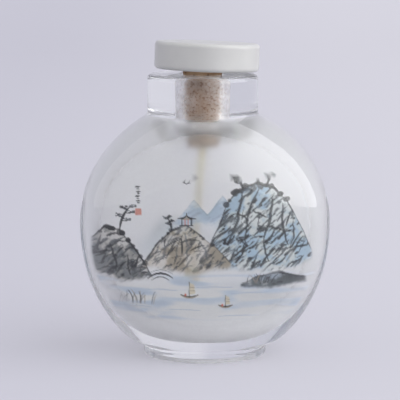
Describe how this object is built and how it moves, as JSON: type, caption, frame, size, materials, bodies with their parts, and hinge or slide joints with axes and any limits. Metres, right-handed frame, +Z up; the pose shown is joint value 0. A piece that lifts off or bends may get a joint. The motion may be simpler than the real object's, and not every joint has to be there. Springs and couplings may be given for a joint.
{
  "type": "snuff bottle",
  "caption": "flattened round snuff bottle of clear glass on a low oval foot, hollow, painted inside, with a milk-white cap on a cork and a thin spoon",
  "frame": {"origin": "on the ground, under the middle of the body", "axes": "+Z up, the painted broad face looks along -Y, +X to that face's right; the body is widest along X and flattest along Y"},
  "size_m": [0.06, 0.035, 0.0755],
  "materials": {
    "clear_glass": "polished outside, frosted and painted on the cavity wall",
    "milk_glass": "milk-white, satin polish",
    "cork": "raw cork, pitted",
    "bone": "smooth, slightly yellowed bone"
  },
  "bodies": {
    "root": {"bottle": "clear_glass", "cap": "milk_glass", "cork": "cork", "spoon": "bone"}
  },
  "joints": []
}
